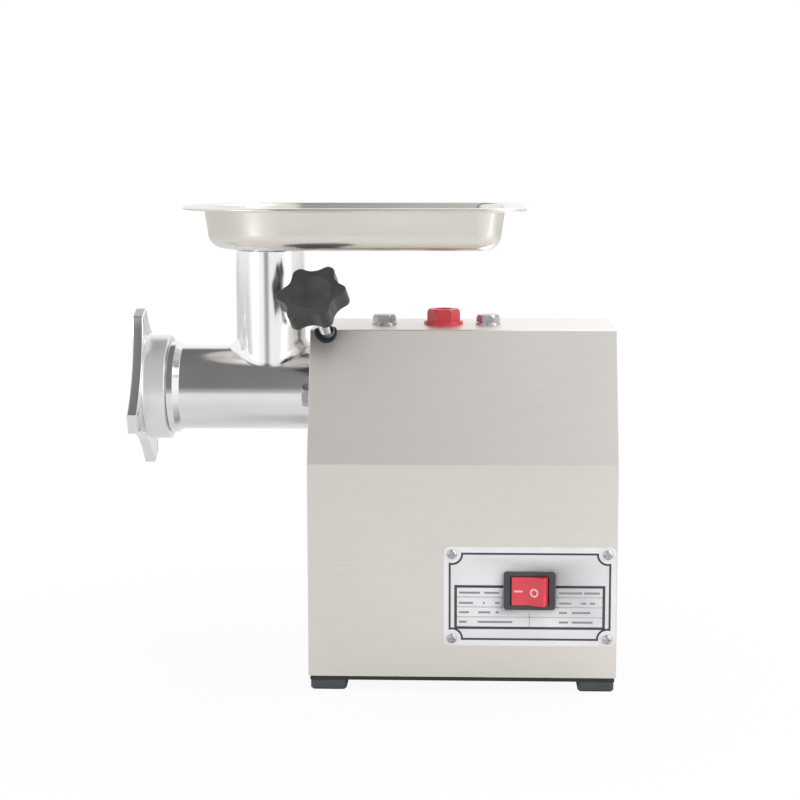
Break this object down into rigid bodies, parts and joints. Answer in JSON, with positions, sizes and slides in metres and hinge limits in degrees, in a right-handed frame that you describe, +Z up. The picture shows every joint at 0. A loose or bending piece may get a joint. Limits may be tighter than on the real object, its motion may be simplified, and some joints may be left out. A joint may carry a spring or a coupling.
{
  "type": "electric meat grinder",
  "caption": "Bench meat grinder: stainless box body with gearbox and motor, screw-fed head with knife, perforated plate and lobed ring nut, feed tube and removable meat pan.",
  "frame": {"origin": "on the floor, under the middle of the whole machine's box", "axes": "+X from the head to the rear of the body along the screw's axis, -Y the switch side, +Z up"},
  "size_m": [0.4518, 0.2405, 0.4394],
  "materials": {
    "brushed_skin": "satin brushed stainless sheet",
    "black_paint": "black powder coat",
    "foot_rubber": "moulded rubber",
    "zinc_steel": "zinc plated steel",
    "plate_paint": "white anodised aluminium plate",
    "nickel_screws": "nickel plated steel",
    "black_plastic": "moulded nylon",
    "red_plastic": "moulded gloss polycarbonate",
    "black_rubber": "moulded rubber",
    "red_plug": "moulded red nylon",
    "cast_alloy": "as-cast aluminium",
    "gasket_paper": "gasket paper",
    "bearing_steel": "ground steel",
    "core_steel": "laminated core steel",
    "copper_wire": "enamelled copper wire",
    "white_plastic": "moulded plastic",
    "gear_steel": "ground steel",
    "polished_alloy": "polished cast aluminium",
    "bush_bronze": "turned bronze",
    "tinned_iron": "tinned cast iron",
    "blade_steel": "ground tool steel",
    "pan_steel": "satin stainless pressing",
    "knob_plastic": "moulded phenolic"
  },
  "bodies": {
    "root": {"housing_shell": "brushed_skin", "front_panel": "brushed_skin", "rear_panel": "brushed_skin", "base_plate": "black_paint", "feet": "foot_rubber", "foot_screws": "zinc_steel", "panel_screws": "zinc_steel", "rating_plate": "plate_paint", "plate_screws": "nickel_screws", "switch_body": "black_plastic", "knob_grommet": "black_rubber", "top_bolts": "zinc_steel", "top_washers": "zinc_steel", "front_bolts": "zinc_steel", "oil_plug": "red_plug", "gearbox_case": "cast_alloy", "gearbox_gasket": "gasket_paper", "gearbox_cover": "cast_alloy", "cover_screws": "zinc_steel", "bearings": "bearing_steel", "oil_seal": "black_rubber", "stator_core": "core_steel", "windings": "copper_wire", "motor_end_bell": "cast_alloy", "motor_bolts": "zinc_steel", "capacitor": "white_plastic", "capacitor_clip": "zinc_steel", "terminal_block": "white_plastic", "cable_gland": "black_plastic"},
    "rocker": {"switch_rocker": "red_plastic"},
    "output_drive": {"output_shaft": "gear_steel", "output_gear": "gear_steel"},
    "idler": {"idler_shaft": "gear_steel", "idler_gear": "gear_steel"},
    "motor": {"motor_shaft": "gear_steel", "rotor": "core_steel", "fan": "white_plastic"},
    "head": {"feed_head": "polished_alloy", "feed_tube": "polished_alloy", "auger_bush": "bush_bronze", "plate_key": "gear_steel"},
    "screw": {"auger": "tinned_iron", "cutting_blade": "blade_steel"},
    "plate": {"cutting_plate": "blade_steel"},
    "ring": {"locking_ring": "polished_alloy"},
    "pan": {"meat_tray": "pan_steel"},
    "stud": {"clamp_stud": "zinc_steel"},
    "knob": {"clamp_knob": "knob_plastic"}
  },
  "joints": [
    {"name": "motor_spin", "type": "hinge", "parent": "root", "child": "motor", "pos_m": [0.08335, 0, 0.15075], "axis": [1, 0, 0], "continuous": true},
    {"name": "idler_spin", "type": "hinge", "parent": "root", "child": "idler", "pos_m": [0.08335, 0, 0.207], "axis": [1, 0, 0], "continuous": true},
    {"name": "output_spin", "type": "hinge", "parent": "root", "child": "output_drive", "pos_m": [0.08335, 0, 0.267], "axis": [1, 0, 0], "continuous": true},
    {"name": "head_slide", "type": "slide", "parent": "root", "child": "head", "axis": [-1, 0, 0], "range_m": [0, 0.07]},
    {"name": "screw_spin", "type": "hinge", "parent": "head", "child": "screw", "pos_m": [-0.09945, 0, 0.267], "axis": [1, 0, 0], "continuous": true},
    {"name": "plate_slide", "type": "slide", "parent": "head", "child": "plate", "axis": [-1, 0, 0], "range_m": [0, 0.0091]},
    {"name": "ring_turn", "type": "hinge", "parent": "plate", "child": "ring", "pos_m": [-0.22585, 0, 0.267], "axis": [-1, 0, 0], "range_deg": [0, 1080]},
    {"name": "pan_lift", "type": "slide", "parent": "head", "child": "pan", "axis": [0, 0, 1], "range_m": [0, 0.06]},
    {"name": "stud_slide", "type": "slide", "parent": "root", "child": "stud", "axis": [-0.1822, -0.6953, 0.6953], "range_m": [0, 0.0061]},
    {"name": "knob_turn", "type": "hinge", "parent": "stud", "child": "knob", "pos_m": [-0.02515, 0, 0.267], "axis": [-0.1822, -0.6953, 0.6953], "range_deg": [0, 1440]},
    {"name": "rocker_tilt", "type": "hinge", "parent": "root", "child": "rocker", "pos_m": [0.14455, -0.10465, 0.095], "axis": [0, 0, 1], "range_deg": [0, 24]}
  ],
  "couplings": [
    {"joint": "idler_spin", "follows": "motor_spin", "ratio": -0.36364},
    {"joint": "output_spin", "follows": "motor_spin", "ratio": 0.12121},
    {"joint": "screw_spin", "follows": "motor_spin", "ratio": 0.12121},
    {"joint": "plate_slide", "follows": "ring_turn", "m_per_rad": 0.00047746},
    {"joint": "stud_slide", "follows": "knob_turn", "m_per_rad": 0.00023873}
  ]
}
